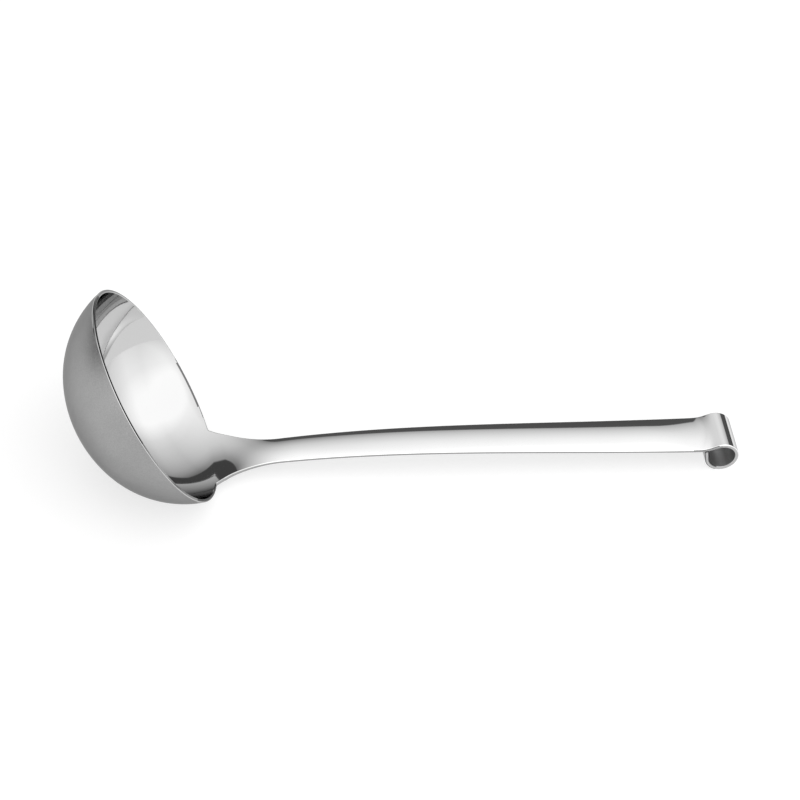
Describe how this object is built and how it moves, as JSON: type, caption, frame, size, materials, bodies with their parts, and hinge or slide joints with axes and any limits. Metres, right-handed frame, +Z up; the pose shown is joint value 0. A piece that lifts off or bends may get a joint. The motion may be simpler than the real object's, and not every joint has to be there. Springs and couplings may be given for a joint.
{
  "type": "soup ladle",
  "caption": "Stainless steel soup ladle with a deep hemispherical bowl, a flared saddle neck and a crowned strip handle that ends in a rolled hanging hook.",
  "frame": {"origin": "under the middle of the ladle's length and width, on the table that it lies on", "axes": "+X along the handle from the bowl to the hook, +Z up from the table, +Y across"},
  "size_m": [0.2998, 0.1, 0.0851],
  "materials": {
    "bowl_steel": "fine satin outside, polished inside",
    "weld_steel": "ground flush and polished",
    "handle_steel": "polished"
  },
  "bodies": {
    "root": {"bowl": "bowl_steel", "neck_weld": "weld_steel", "handle": "handle_steel"}
  },
  "joints": []
}
